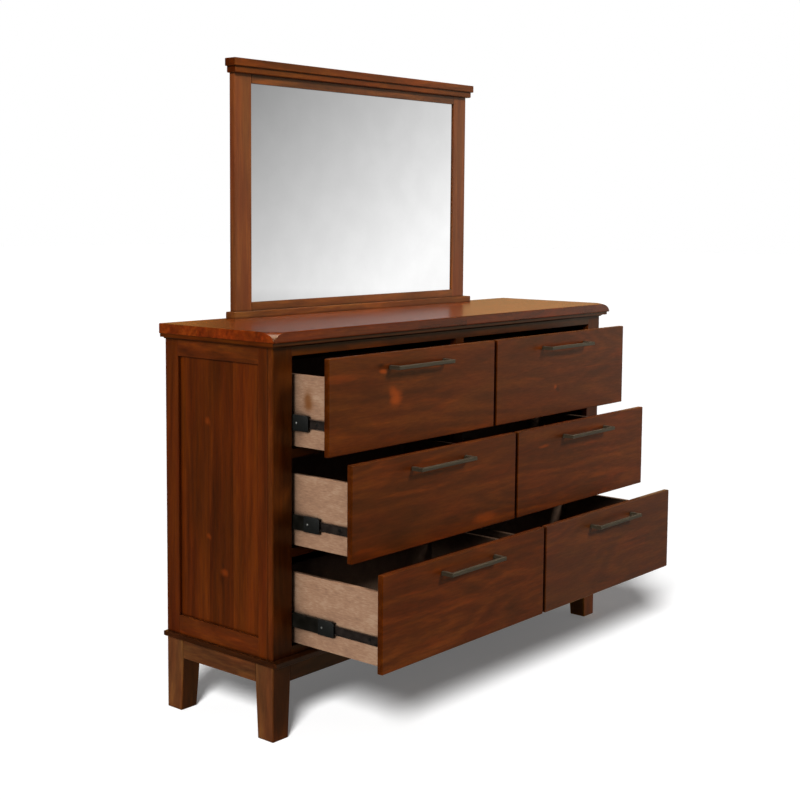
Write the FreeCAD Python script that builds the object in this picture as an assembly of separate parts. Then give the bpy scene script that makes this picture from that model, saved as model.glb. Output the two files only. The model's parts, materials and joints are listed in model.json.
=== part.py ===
import FreeCAD, Part
import math
import os

# Six-drawer dresser with a framed mirror that stands on its top.
# Millimetres. +Z is up, the drawers face -Y, +X is to the right seen from the front.
# While the pieces are made, y = 0 is the front of the face frame and z = 0 is the floor.
# They are saved with the origin on the floor, at the middle of the whole piece's footprint.

Vector = FreeCAD.Vector
UP = Vector(0, 0, 1)
RIGHT = Vector(1, 0, 0)
BACKWARD = Vector(0, 1, 0)

# Driving sizes
# Top slab
slab_width = 1524.0
slab_thickness = 26.0
slab_side_overhang = 20.0
slab_front_overhang = 24.0
slab_edge_ease = 2.5
slab_corner_cut = 50.0
slab_top_height = 1018.0

# Case
case_depth = 392.0
case_bottom_height = 207.0
face_frame_thickness = 18.0
face_stile_width = 66.0
centre_stile_width = 37.0
top_rail_height = 37.0
bottom_rail_height = 23.0
divider_rail_height = 22.0
side_thickness = 20.0
side_front_stile_width = 32.5
side_rear_stile_width = 50.0
side_top_rail_height = 56.0
side_bottom_rail_height = 49.0
panel_thickness = 8.0
panel_recess = 8.0
panel_groove_depth = 8.0
panel_groove_clearance = 0.2
joint_groove = 2.0
back_thickness = 6.0
back_rabbet_width = 10.0
partition_thickness = 18.0
case_floor_thickness = 12.0
batten_width = 40.0
batten_thickness = 26.0

# Moulding under the slab
top_moulding_overhang = 17.0
top_moulding_height = 14.0
top_moulding_face = 9.0
top_moulding_lip = 2.5
top_moulding_foot = 3.0
top_moulding_hollow_share = 0.18

# Base
base_moulding_thickness = 17.0
base_moulding_width = 84.0
base_side_overhang = 12.0
base_front_overhang = 24.0
base_chamfer_height = 5.5
base_chamfer_width = 10.0
apron_height = 47.5
apron_thickness = 20.0
apron_setback = 1.0
leg_top_width = 62.0
leg_taper = 8.0
leg_edge_ease = 2.0

# Drawers
drawer_row_gap = 9.5
drawer_front_thickness = 16.0
drawer_front_ease = 1.5
drawer_side_overlay = 3.0
drawer_centre_overlay = 12.5
drawer_base_clearance = 16.5
drawer_top_clearance = 35.5
drawer_closed_gap = 1.5
box_lift = 13.0
box_top_drop = 47.0
box_length = 352.0
box_board = 12.0
box_joint_depth = 6.0
box_edge_ease = 1.0
box_bottom_thickness = 5.0
box_bottom_lift = 10.0
box_groove_depth = 6.0
box_groove_clearance = 0.1
box_bottom_clearance = 0.5

# How far each row stands open at rest, and how far a drawer can come out in all
row_names = ["bottom", "middle", "top"]
row_opening = [280.0, 183.0, 108.0]
slide_travel = 345.0

# Bar pulls
pull_length = 228.0
pull_projection = 35.0
pull_bar_height = 9.5
pull_bar_depth = 8.0
pull_post_width = 10.0
pull_below_top = 37.0
pull_edge_ease = 1.2

# Ball-bearing slides: cabinet, middle and drawer members, with their ball retainers
slide_thickness = 12.7
slide_clearance = 0.3
slide_centre_height = 73.0
slide_metal = 1.2
slide_front_setback = 3.0
cabinet_member_length = 350.0
cabinet_member_height = 45.0
cabinet_lip_gap = 2.0
middle_member_length = 343.0
middle_member_offset = 4.0
middle_lip_gap = 0.8
drawer_member_length = 345.0
drawer_lip_gap = 1.8
outer_race_height = 2.8
inner_race_height = 6.3
slide_bend_radius = 1.0
retainer_length = 120.0
retainer_depth = 3.0
retainer_end_margin = 10.0
ball_clearance = 0.3
cleat_height = 46.0

# Mirror
mirror_sill_height = 17.5
mirror_sill_end_overhang = 16.5
mirror_sill_front_overhang = 17.0
mirror_frame_width = 1021.0
mirror_frame_thickness = 19.0
mirror_stile_width = 63.0
mirror_bottom_rail_height = 23.0
mirror_top_rail_height = 24.0
mirror_frame_height = 637.5
mirror_bed_height = 17.0
mirror_bed_end_overhang = 9.5
mirror_bed_front_overhang = 13.0
mirror_bed_round = 3.0
mirror_cap_height = 21.0
mirror_cap_end_overhang = 16.5
mirror_cap_front_overhang = 19.5
mirror_edge_ease = 1.5
mirror_glass_thickness = 4.0
mirror_backing_thickness = 10.0
mirror_rabbet_width = 7.0
mirror_glass_clearance = 0.5
support_width = 60.0
support_thickness = 18.0
support_spacing = 620.0
support_below_slab_top = 378.0
support_above_slab_top = 482.0
support_edge_ease = 3.0

# Cutting tools reach this far past what they cut
overrun = 5.0

# Angles, in degrees
mitre_angle = 45.0
half_turn = 180.0

# Derived places
slab_half = slab_width / 2
slab_bottom = slab_top_height - slab_thickness
case_half = slab_half - slab_side_overhang
stile_inner = case_half - face_stile_width
centre_half = centre_stile_width / 2
side_inner = case_half - side_thickness
back_inner = case_depth - back_thickness
front_bottom = case_bottom_height + drawer_base_clearance
fronts_height = slab_bottom - drawer_top_clearance - front_bottom
row_pitch = (fronts_height + drawer_row_gap) / len(row_names)
drawer_front_height = row_pitch - drawer_row_gap
box_height = drawer_front_height - box_lift - box_top_drop
front_outer = stile_inner + drawer_side_overlay
front_inner = centre_half - drawer_centre_overlay
slide_space = slide_thickness + slide_clearance
box_outer = stile_inner - slide_space
box_inner = centre_half + slide_space
support_front = case_depth
rest_front = -(drawer_closed_gap + max(row_opening) + drawer_front_thickness + pull_projection)
rest_back = support_front + support_thickness
origin_y = (rest_front + rest_back) / 2


# Shared shapes
def block(x_one, x_two, y_one, y_two, z_one, z_two):
    """A rectangular board between two opposite corners, given in any order."""
    corner = Vector(min(x_one, x_two), min(y_one, y_two), min(z_one, z_two))
    return Part.makeBox(abs(x_two - x_one), abs(y_two - y_one), abs(z_two - z_one), corner)


def eased(board, size):
    """The board with every edge taken off by a small chamfer."""
    return board.makeChamfer(size, board.Edges)


def mirrored(shape):
    """The same piece on the other side of the middle plane."""
    return shape.mirror(Vector(0, 0, 0), RIGHT)


def both_sides(shapes):
    """Pieces of the right-hand side and their left-hand twins."""
    return shapes + [mirrored(shape) for shape in shapes]


def is_upright(edge):
    """Whether an edge stands straight up."""
    return edge.BoundBox.ZLength > edge.BoundBox.XLength + edge.BoundBox.YLength


def upright_edges_at(solid, x, y):
    """The upright edges of a board at one corner of its plan."""
    found = []
    for edge in solid.Edges:
        near_x = abs(edge.CenterOfMass.x - x) < joint_groove
        near_y = abs(edge.CenterOfMass.y - y) < joint_groove
        if is_upright(edge) and near_x and near_y:
            found.append(edge)
    return found


def save(name, solids):
    """Write one node, moved so that the origin is under the middle of the piece."""
    moved = [solid.translated(Vector(0, -origin_y, 0)) for solid in solids]
    Part.makeCompound(moved).exportStep(os.path.join("parts", name + ".step"))


def mitre_cutter(corner_x, corner_y, turn, reach):
    """A large block with one upright face through a corner, turned about it by an angle."""
    cutter = Part.makeBox(2 * reach, reach, 2 * reach, Vector(-reach, 0, -reach))
    cutter.rotate(Vector(0, 0, 0), UP, turn)
    cutter.translate(Vector(corner_x, corner_y, 0))
    return cutter


def mitred_runs(outline, half_width, front, back):
    """Front and side runs of a moulding, mitred at the front corners.

    The outline function gives the run's section, as a face in the upright plane through
    a start point, with its depth along the vector that points inward.
    """
    reach = 2 * half_width + back - front
    front_run = outline(Vector(-half_width, front, 0), BACKWARD).extrude(RIGHT * (2 * half_width))
    behind_mitre = mitre_cutter(-half_width, front, mitre_angle, reach)
    front_run = front_run.cut(behind_mitre).cut(mirrored(behind_mitre))
    right_run = outline(Vector(half_width, front, 0), -RIGHT).extrude(BACKWARD * (back - front))
    before_mitre = mitre_cutter(-half_width, front, mitre_angle + half_turn, reach)
    right_run = right_run.cut(mirrored(before_mitre))
    return [front_run] + both_sides([right_run])


# Top
def make_top_slab():
    """Solid top, its front corners cut by a quarter-round that runs out at the bottom."""
    front = -slab_front_overhang
    slab = block(-slab_half, slab_half, front, case_depth, slab_bottom, slab_top_height)
    flat_edges = []
    for edge in slab.Edges:
        at_back = edge.BoundBox.YMin > case_depth - slab_edge_ease
        if not is_upright(edge) and not at_back:
            flat_edges.append(edge)
    slab = slab.makeFillet(slab_edge_ease, flat_edges)
    cutter = corner_cutter(front)
    return slab.cut(cutter).cut(mirrored(cutter))


def corner_cutter(front):
    """What the quarter-round takes off the front right corner of the slab.

    Its section lies in the upright plane through the corner at 45 degrees: a quarter of an
    ellipse, level where it leaves the top and upright where it reaches the bottom corner.
    """
    run_in = slab_corner_cut * math.sin(math.radians(mitre_angle))
    outward = Vector(1, -1, 0).normalize()
    across = Vector(1, 1, 0).normalize()
    corner = Vector(slab_half, front, slab_bottom)
    centre = corner - outward * run_in
    long_point = corner
    short_point = centre + UP * slab_thickness
    if run_in >= slab_thickness:
        ellipse = Part.Ellipse(long_point, short_point, centre)
    else:
        ellipse = Part.Ellipse(short_point, long_point, centre)
    quarter = Part.Wire([trimmed_ellipse(ellipse, long_point, short_point)])
    clear = UP * (slab_thickness + overrun)
    path = [short_point, centre + clear, corner + outward * overrun + clear]
    path += [corner + outward * overrun - UP * overrun, corner - UP * overrun, long_point]
    outline = Part.Wire(quarter.Edges + Part.makePolygon(path).Edges)
    section = Part.Face(outline)
    section.translate(across * -slab_corner_cut)
    return section.extrude(across * (2 * slab_corner_cut))


def trimmed_ellipse(ellipse, start, end):
    """The quarter of an ellipse between the ends of its two half axes."""
    first, last = sorted([ellipse.parameter(start), ellipse.parameter(end)])
    if last - first > math.pi:
        first, last = last, first + 2 * math.pi
    return Part.ArcOfEllipse(ellipse, first, last).toShape()


def make_top_moulding():
    """Moulding under the slab: a square face over a cove that runs back to the case."""
    top = slab_bottom
    bottom = top - top_moulding_height
    face_bottom = top - top_moulding_face

    def outline(start, inward):
        def point(depth, height):
            return start + inward * depth + UP * height

        cove_start = point(top_moulding_lip, face_bottom)
        cove_end = point(top_moulding_overhang - top_moulding_foot, bottom)
        chord = cove_end - cove_start
        hollow = Vector(inward.x * -chord.z, inward.y * -chord.z, chord.Length)
        depth_of_cove = chord.Length * top_moulding_hollow_share
        middle = (cove_start + cove_end) / 2 + hollow.normalize() * depth_of_cove
        path = [cove_end, point(top_moulding_overhang, bottom), point(top_moulding_overhang, top)]
        path += [point(0, top), point(0, face_bottom), cove_start]
        cove = Part.Arc(cove_start, middle, cove_end).toShape()
        return Part.Face(Part.Wire([cove] + Part.makePolygon(path).Edges))

    outer_half = case_half + top_moulding_overhang
    return mitred_runs(outline, outer_half, -top_moulding_overhang, case_depth)


# Case sides and face frame
panel_front = side_front_stile_width + face_frame_thickness
panel_back = case_depth - side_rear_stile_width
panel_top = slab_bottom - side_top_rail_height
panel_bottom = case_bottom_height + side_bottom_rail_height
panel_outer = case_half - panel_recess
panel_inner = panel_outer - panel_thickness


def make_side_stiles():
    """Front and rear stiles of both sides, grooved for the panel and the rails' tongues."""
    groove_low = panel_inner - panel_groove_clearance
    groove_high = panel_outer + panel_groove_clearance
    span = (case_bottom_height - overrun, slab_bottom + overrun)
    front = block(side_inner, case_half, face_frame_thickness, panel_front,
                  case_bottom_height, slab_bottom)
    seam_edges = upright_edges_at(front, case_half, face_frame_thickness)
    front = front.makeChamfer(joint_groove, seam_edges)
    front = front.cut(block(groove_low, groove_high, panel_front - panel_groove_depth,
                            panel_front + overrun, *span))
    rear = block(side_inner, case_half, panel_back, case_depth, case_bottom_height, slab_bottom)
    rear = rear.makeChamfer(joint_groove, upright_edges_at(rear, case_half, case_depth))
    rear = rear.cut(block(groove_low, groove_high, panel_back - overrun,
                          panel_back + panel_groove_depth, *span))
    rear = rear.cut(block(side_inner - overrun, side_inner + back_rabbet_width,
                          back_inner, case_depth + overrun, *span))
    return both_sides([front, rear])


def make_side_rails():
    """Top and bottom rails of both sides, with tongues that sit in the stiles' grooves."""
    reach = panel_groove_depth - panel_groove_clearance
    panel_room = block(panel_inner - panel_groove_clearance, panel_outer + panel_groove_clearance,
                       panel_front - panel_groove_depth - overrun,
                       panel_back + panel_groove_depth + overrun,
                       panel_bottom - panel_groove_depth, panel_top + panel_groove_depth)
    rails = []
    for low, high in ((panel_top, slab_bottom), (case_bottom_height, panel_bottom)):
        rail = block(side_inner, case_half, panel_front, panel_back, low, high)
        tongues = block(panel_inner, panel_outer, panel_front - reach, panel_back + reach, low, high)
        rails.append(rail.fuse(tongues).removeSplitter().cut(panel_room))
    return both_sides(rails)


def make_side_panels():
    """One flat panel on each side, held in the grooves of its stiles and rails."""
    reach = panel_groove_depth - panel_groove_clearance
    panel = block(panel_inner, panel_outer, panel_front - reach, panel_back + reach,
                  panel_bottom - reach, panel_top + reach)
    return both_sides([panel])


def make_face_stiles():
    """Outer stiles of the face frame and the narrow stile between the two columns."""
    outer = block(stile_inner, case_half, 0, face_frame_thickness, case_bottom_height, slab_bottom)
    seam_edges = upright_edges_at(outer, case_half, face_frame_thickness)
    corner_edges = upright_edges_at(outer, case_half, 0)
    outer = outer.makeChamfer(joint_groove, seam_edges + corner_edges)
    centre = block(-centre_half, centre_half, 0, face_frame_thickness,
                   case_bottom_height + bottom_rail_height, slab_bottom - top_rail_height)
    return both_sides([outer]) + [centre]


def divider_heights():
    """Middle height of each rail between two rows of drawers."""
    first = front_bottom + drawer_front_height + drawer_row_gap / 2
    return [first + row * row_pitch for row in range(len(row_names) - 1)]


def make_face_rails():
    """Top and bottom rails of the face frame, and a short rail between drawers of a column."""
    top = block(-stile_inner, stile_inner, 0, face_frame_thickness,
                slab_bottom - top_rail_height, slab_bottom)
    bottom = block(-stile_inner, stile_inner, 0, face_frame_thickness,
                   case_bottom_height, case_bottom_height + bottom_rail_height)
    dividers = []
    for height in divider_heights():
        dividers.append(block(centre_half, stile_inner, 0, face_frame_thickness,
                              height - divider_rail_height / 2, height + divider_rail_height / 2))
    return [top, bottom] + both_sides(dividers)


# Inside of the case
def make_case_floor():
    """Thin bottom of the case, inside its sides."""
    return [block(-side_inner, side_inner, face_frame_thickness, back_inner,
                  case_bottom_height, case_bottom_height + case_floor_thickness)]


def make_centre_partition():
    """Upright board behind the centre stile, from the case's floor to the slab."""
    return [block(-partition_thickness / 2, partition_thickness / 2, face_frame_thickness, back_inner,
                  case_bottom_height + case_floor_thickness, slab_bottom)]


def make_back_panel():
    """Plywood back, let into rabbets in the rear stiles."""
    half = side_inner + back_rabbet_width - panel_groove_clearance
    return [block(-half, half, back_inner, case_depth, case_bottom_height, slab_bottom)]


def make_top_battens():
    """Battens under the slab, front and back, that it is screwed up from."""
    battens = []
    for front in (face_frame_thickness, back_inner - batten_width):
        battens.append(block(partition_thickness / 2, side_inner, front, front + batten_width,
                             slab_bottom - batten_thickness, slab_bottom))
    return both_sides(battens)


def slide_heights():
    """Middle height of the slides of each row, from the bottom row up."""
    return [front_bottom + row * row_pitch + slide_centre_height for row in range(len(row_names))]


def make_slide_cleats():
    """Cleats that bring the slides' seats out to the edges of the face frame's openings."""
    cleats = []
    for height in slide_heights():
        low = height - cleat_height / 2
        high = height + cleat_height / 2
        cleats.append(block(stile_inner, side_inner, face_frame_thickness, back_inner, low, high))
        cleats.append(block(partition_thickness / 2, centre_half, face_frame_thickness, back_inner,
                            low, high))
    return both_sides(cleats)


# Base
base_top = case_bottom_height
base_bottom = base_top - base_moulding_thickness
apron_bottom = base_bottom - apron_height


def make_base_moulding():
    """Flat moulding that the case stands on, mitred at the front, chamfered below its face."""
    def outline(start, inward):
        def point(depth, height):
            return start + inward * depth + UP * height

        path = [point(0, base_top), point(base_moulding_width, base_top)]
        path += [point(base_moulding_width, base_bottom), point(base_chamfer_width, base_bottom)]
        path += [point(0, base_bottom + base_chamfer_height), point(0, base_top)]
        return Part.Face(Part.makePolygon(path))

    half = case_half + base_side_overhang
    runs = mitred_runs(outline, half, -base_front_overhang, case_depth)
    inner = half - base_moulding_width
    back_run = block(-inner, inner, case_depth - base_moulding_width, case_depth, base_bottom, base_top)
    return runs + [back_run]


def make_aprons():
    """Straight aprons between the legs, set back a little from their faces."""
    inner = case_half - leg_top_width
    front = block(-inner, inner, apron_setback, apron_setback + apron_thickness,
                  apron_bottom, base_bottom)
    back = block(-inner, inner, case_depth - apron_setback - apron_thickness,
                 case_depth - apron_setback, apron_bottom, base_bottom)
    side = block(case_half - apron_setback - apron_thickness, case_half - apron_setback,
                 leg_top_width, case_depth - leg_top_width, apron_bottom, base_bottom)
    return [front, back] + both_sides([side])


def make_legs():
    """Four square legs, tapered on their two inner faces below the aprons."""
    foot_width = leg_top_width - leg_taper
    legs = []
    for outer_y, inward in ((0, 1), (case_depth, -1)):
        foot = leg_section(outer_y, inward * foot_width, foot_width, 0)
        knee = leg_section(outer_y, inward * leg_top_width, leg_top_width, apron_bottom)
        head = leg_section(outer_y, inward * leg_top_width, leg_top_width, base_bottom)
        lower = Part.makeLoft([foot, knee], True, True)
        upper = Part.makeLoft([knee, head], True, True)
        leg = lower.fuse(upper).removeSplitter()
        eased_edges = []
        for edge in leg.Edges:
            at_foot = edge.BoundBox.ZMax < leg_edge_ease
            runs_up = edge.BoundBox.ZLength > leg_edge_ease
            if at_foot or runs_up:
                eased_edges.append(edge)
        legs.append(leg.makeChamfer(leg_edge_ease, eased_edges))
    return both_sides(legs)


def leg_section(outer_y, depth, width, height):
    """A leg's level section, its outer corner fixed while the inner faces move."""
    corners = [Vector(case_half, outer_y, height),
               Vector(case_half - width, outer_y, height),
               Vector(case_half - width, outer_y + depth, height),
               Vector(case_half, outer_y + depth, height)]
    return Part.makePolygon(corners + [corners[0]])


# Slides
def channel(seat_x, toward, web_at, lips_to, height, y_low, y_high):
    """A rolled steel channel that runs front to back, drawn about z = 0.

    Its web stands web_at from the seat and its lips reach lips_to from the seat, both
    measured from seat_x in the direction toward, which is +1 or -1 along x. The bends
    between web and lips are round, outside and in.
    """
    web = seat_x + toward * web_at
    lips = seat_x + toward * lips_to
    lean = math.copysign(1, lips - web)
    web_inside = web + lean * slide_metal
    side_inside = height / 2 - slide_metal
    body = block(web, lips, y_low, y_high, -height / 2, height / 2)
    body = body.makeFillet(slide_bend_radius + slide_metal, long_edges_at(body, web))
    room = block(web_inside, lips + lean * overrun, y_low - overrun, y_high + overrun,
                 -side_inside, side_inside)
    room = room.makeFillet(slide_bend_radius, long_edges_at(room, web_inside))
    return body.cut(room)


def long_edges_at(solid, x):
    """The edges of a bar that run front to back at one place along x."""
    found = []
    for edge in solid.Edges:
        runs_back = edge.BoundBox.YLength > edge.BoundBox.XLength + edge.BoundBox.ZLength
        if runs_back and abs(edge.CenterOfMass.x - x) < slide_metal / 2:
            found.append(edge)
    return found


def slide_seats():
    """Seat and direction of the two slides of a right-hand drawer: outer, then inner."""
    return [(stile_inner, -1), (centre_half, 1)]


def raised(shapes, height):
    """Slides are drawn about z = 0 and then lifted to their row."""
    return [shape.translated(UP * height) for shape in shapes]


middle_member_height = cabinet_member_height - 2 * (slide_metal + outer_race_height)
drawer_member_height = middle_member_height - 2 * (slide_metal + inner_race_height)


def make_cabinet_members():
    """Cabinet members of all slides, screwed to the cleats."""
    members = []
    for height in slide_heights():
        pair = [channel(seat, toward, 0, slide_space - cabinet_lip_gap, cabinet_member_height,
                        slide_front_setback, slide_front_setback + cabinet_member_length)
                for seat, toward in slide_seats()]
        members += raised(pair, height)
    return both_sides(members)


def make_middle_members():
    """Middle members of one right-hand drawer's slides, closed, with their ball retainers.

    The outer rows of balls stay at the rear of the middle member, inside the cabinet
    member; the inner rows stay at its front, round the drawer member.
    """
    front = slide_front_setback
    back = front + middle_member_length
    lips = slide_space - slide_metal - middle_lip_gap
    row_middle = (middle_member_offset + lips) / 2
    rear_rows = back - retainer_end_margin
    front_rows = front + retainer_end_margin
    race_outside = middle_member_height / 2
    race_inside = race_outside - slide_metal
    pieces = []
    for seat, toward in slide_seats():
        near = seat + toward * (row_middle - retainer_depth / 2)
        far = near + toward * retainer_depth
        outer_row = block(near, far, rear_rows - retainer_length, rear_rows,
                          race_outside, race_outside + outer_race_height - ball_clearance)
        inner_row = block(near, far, front_rows, front_rows + retainer_length,
                          race_inside - inner_race_height + ball_clearance, race_inside)
        pieces.append(channel(seat, toward, middle_member_offset, lips, middle_member_height,
                              front, back))
        for row in (outer_row, inner_row):
            pieces.append(row)
            pieces.append(row.mirror(Vector(0, 0, 0), UP))
    return pieces


def make_drawer_members():
    """Drawer members of one right-hand drawer's slides, closed, on the box's sides."""
    lips = middle_member_offset + slide_metal + drawer_lip_gap
    members = []
    for seat, toward in slide_seats():
        members.append(channel(seat, toward, slide_space, lips, drawer_member_height,
                               0, drawer_member_length))
    return members


# Drawers
def make_drawer_front(bottom):
    """Flat drawer front that laps over the face frame."""
    board = block(front_inner, front_outer, -drawer_front_thickness, 0,
                  bottom, bottom + drawer_front_height)
    return [eased(board, drawer_front_ease)]


def make_drawer_box(bottom):
    """Two sides, an inner front and a back, lapped at the corners and grooved for the bottom."""
    low = bottom + box_lift
    high = low + box_height
    groove_low = low + box_bottom_lift - box_groove_clearance
    groove_high = low + box_bottom_lift + box_bottom_thickness + box_groove_clearance
    groove = block(box_inner + box_board - box_groove_depth, box_outer - box_board + box_groove_depth,
                   box_board - box_groove_depth, box_length - box_board + box_groove_depth,
                   groove_low, groove_high)
    end_laps = block(box_inner + box_board - box_joint_depth, box_outer - box_board + box_joint_depth,
                     -overrun, box_length + overrun, low - overrun, high + overrun)
    end_laps = end_laps.cut(block(box_inner, box_outer, box_board, box_length - box_board,
                                  low - overrun, high + overrun))
    boards = []
    for outer, inner in ((box_outer, box_outer - box_board), (box_inner, box_inner + box_board)):
        side = block(outer, inner, 0, box_length, low, high)
        top_edges = [edge for edge in side.Edges if edge.BoundBox.ZMin > high - box_edge_ease]
        side = side.makeChamfer(box_edge_ease, top_edges)
        boards.append(side.cut(end_laps).cut(groove))
    for start in (0, box_length - box_board):
        end = block(box_inner + box_board - box_joint_depth, box_outer - box_board + box_joint_depth,
                    start, start + box_board, low, high)
        boards.append(end.cut(groove))
    return boards


def make_drawer_bottom(bottom):
    """Thin plywood bottom that slides into the box's grooves."""
    low = bottom + box_lift + box_bottom_lift
    reach = box_groove_depth - box_bottom_clearance
    return [block(box_inner + box_board - reach, box_outer - box_board + reach,
                  box_board - reach, box_length - box_board + reach,
                  low, low + box_bottom_thickness)]


def make_pull(bottom):
    """Square bar pull: a bar carried on a post at each end."""
    middle_x = (front_inner + front_outer) / 2
    middle_z = bottom + drawer_front_height - pull_below_top
    low = middle_z - pull_bar_height / 2
    high = middle_z + pull_bar_height / 2
    bar_front = -drawer_front_thickness - pull_projection
    bar_back = bar_front + pull_bar_depth
    bar = block(middle_x - pull_length / 2, middle_x + pull_length / 2, bar_front, bar_back, low, high)
    front_edges = [edge for edge in bar.Edges if edge.BoundBox.YMax < bar_front + pull_edge_ease]
    pieces = [bar.makeChamfer(pull_edge_ease, front_edges)]
    for end in (middle_x - pull_length / 2, middle_x + pull_length / 2 - pull_post_width):
        pieces.append(block(end, end + pull_post_width, bar_back, -drawer_front_thickness, low, high))
    return pieces


def save_drawers():
    """All six drawers, each standing open by its row's amount."""
    for row, name in enumerate(row_names):
        bottom = front_bottom + row * row_pitch
        opening = row_opening[row]
        open_by = BACKWARD * -(drawer_closed_gap + opening)
        half_open = BACKWARD * -(opening / 2)
        pieces = {"drawer_front": make_drawer_front(bottom),
                  "drawer_box": make_drawer_box(bottom),
                  "drawer_bottom": make_drawer_bottom(bottom),
                  "drawer_pull": make_pull(bottom),
                  "drawer_slides": raised(make_drawer_members(), slide_heights()[row]),
                  "middle_slides": raised(make_middle_members(), slide_heights()[row])}
        for piece, solids in pieces.items():
            shift = half_open if piece == "middle_slides" else open_by
            right = [solid.translated(shift) for solid in solids]
            save(name + "_right_" + piece, right)
            save(name + "_left_" + piece, [mirrored(solid) for solid in right])


# Mirror
mirror_back = case_depth
frame_bottom = slab_top_height + mirror_sill_height
frame_top = frame_bottom + mirror_frame_height
frame_front = mirror_back - mirror_frame_thickness
frame_half = mirror_frame_width / 2
glass_half = frame_half - mirror_stile_width
glass_bottom = frame_bottom + mirror_bottom_rail_height
glass_top = frame_top - mirror_top_rail_height
glass_back = mirror_back - mirror_backing_thickness
glass_front = glass_back - mirror_glass_thickness


def mirror_rabbet():
    """The step behind the frame's opening that the glass and its backing sit in."""
    return block(-glass_half - mirror_rabbet_width, glass_half + mirror_rabbet_width,
                 glass_front, mirror_back + overrun,
                 glass_bottom - mirror_rabbet_width, glass_top + mirror_rabbet_width)


def make_mirror_stiles():
    """Stiles of the mirror frame, rabbeted behind for the glass."""
    stile = block(glass_half, frame_half, frame_front, mirror_back, frame_bottom, frame_top)
    front_edges = [edge for edge in stile.Edges if edge.BoundBox.YMax < glass_front]
    long_front_edges = [edge for edge in front_edges if is_upright(edge)]
    stile = stile.makeChamfer(mirror_edge_ease, long_front_edges)
    return both_sides([stile.cut(mirror_rabbet())])


def make_mirror_rails():
    """Bottom and top rails of the mirror frame, between its stiles."""
    rails = []
    for low, high in ((frame_bottom, glass_bottom), (glass_top, frame_top)):
        rail = block(-glass_half, glass_half, frame_front, mirror_back, low, high)
        rails.append(rail.cut(mirror_rabbet()))
    return rails


def glass_sheet(front, back):
    """A flat sheet that fills the rabbet between two depths."""
    reach = mirror_rabbet_width - mirror_glass_clearance
    return [block(-glass_half - reach, glass_half + reach, front, back,
                  glass_bottom - reach, glass_top + reach)]


def make_mirror_sill():
    """Board that the mirror frame stands on, laid on the back of the top."""
    half = frame_half + mirror_sill_end_overhang
    sill = block(-half, half, frame_front - mirror_sill_front_overhang, mirror_back,
                 slab_top_height, frame_bottom)
    in_front = [edge for edge in sill.Edges if edge.CenterOfMass.y < mirror_back - mirror_edge_ease]
    exposed = [edge for edge in in_front if edge.BoundBox.ZMax > slab_top_height + mirror_edge_ease]
    return [sill.makeChamfer(mirror_edge_ease, exposed)]


def make_mirror_bed_moulding():
    """Lower step of the cornice, rounded along its bottom edge."""
    half = frame_half + mirror_bed_end_overhang
    bed = block(-half, half, frame_front - mirror_bed_front_overhang, mirror_back,
                frame_top, frame_top + mirror_bed_height)
    in_front = [edge for edge in bed.Edges if edge.CenterOfMass.y < mirror_back - mirror_bed_round]
    lower = [edge for edge in in_front if edge.BoundBox.ZMax < frame_top + mirror_bed_round]
    return [bed.makeFillet(mirror_bed_round, lower)]


def make_mirror_cap():
    """Top step of the cornice, eased on the edges that show."""
    low = frame_top + mirror_bed_height
    half = frame_half + mirror_cap_end_overhang
    cap = block(-half, half, frame_front - mirror_cap_front_overhang, mirror_back,
                low, low + mirror_cap_height)
    exposed = [edge for edge in cap.Edges if edge.CenterOfMass.y < mirror_back - mirror_edge_ease]
    return [cap.makeChamfer(mirror_edge_ease, exposed)]


def make_mirror_supports():
    """Two posts screwed to the backs of the mirror and the case."""
    middle = support_spacing / 2
    post = block(middle - support_width / 2, middle + support_width / 2,
                 support_front, support_front + support_thickness,
                 slab_top_height - support_below_slab_top, slab_top_height + support_above_slab_top)
    rear = [edge for edge in post.Edges if edge.BoundBox.YMin > support_front + support_edge_ease]
    return both_sides([post.makeChamfer(support_edge_ease, rear)])


# All nodes
os.makedirs("parts", exist_ok=True)

save("top_slab", [make_top_slab()])
save("top_moulding", make_top_moulding())
save("side_stiles", make_side_stiles())
save("side_rails", make_side_rails())
save("side_panels", make_side_panels())
save("face_stiles", make_face_stiles())
save("face_rails", make_face_rails())
save("case_floor", make_case_floor())
save("centre_partition", make_centre_partition())
save("back_panel", make_back_panel())
save("top_battens", make_top_battens())
save("slide_cleats", make_slide_cleats())
save("base_moulding", make_base_moulding())
save("aprons", make_aprons())
save("legs", make_legs())
save("cabinet_slides", make_cabinet_members())
save("mirror_stiles", make_mirror_stiles())
save("mirror_rails", make_mirror_rails())
save("mirror_glass", glass_sheet(glass_front, glass_back))
save("mirror_backing", glass_sheet(glass_back, mirror_back))
save("mirror_sill", make_mirror_sill())
save("mirror_bed_moulding", make_mirror_bed_moulding())
save("mirror_cap", make_mirror_cap())
save("mirror_supports", make_mirror_supports())
save_drawers()
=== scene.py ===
import json
import math

import bmesh
import bpy
from mathutils import Matrix, Vector


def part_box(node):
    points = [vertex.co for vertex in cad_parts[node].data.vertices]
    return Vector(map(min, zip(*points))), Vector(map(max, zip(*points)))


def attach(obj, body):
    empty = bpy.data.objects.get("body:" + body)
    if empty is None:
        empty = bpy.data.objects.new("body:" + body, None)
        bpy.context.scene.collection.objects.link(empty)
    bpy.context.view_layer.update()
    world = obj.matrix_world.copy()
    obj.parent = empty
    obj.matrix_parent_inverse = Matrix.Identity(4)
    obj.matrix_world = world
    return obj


bl_info = {
    "name": "Six-drawer dresser with mirror",
    "version": (1, 0, 0),
    "blender": (4, 5, 0),
    "location": "3D View > Sidebar > Dresser",
    "description": "Finishes, fittings and studio for a wide dresser with a framed mirror",
    "category": "Object",
}

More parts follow.
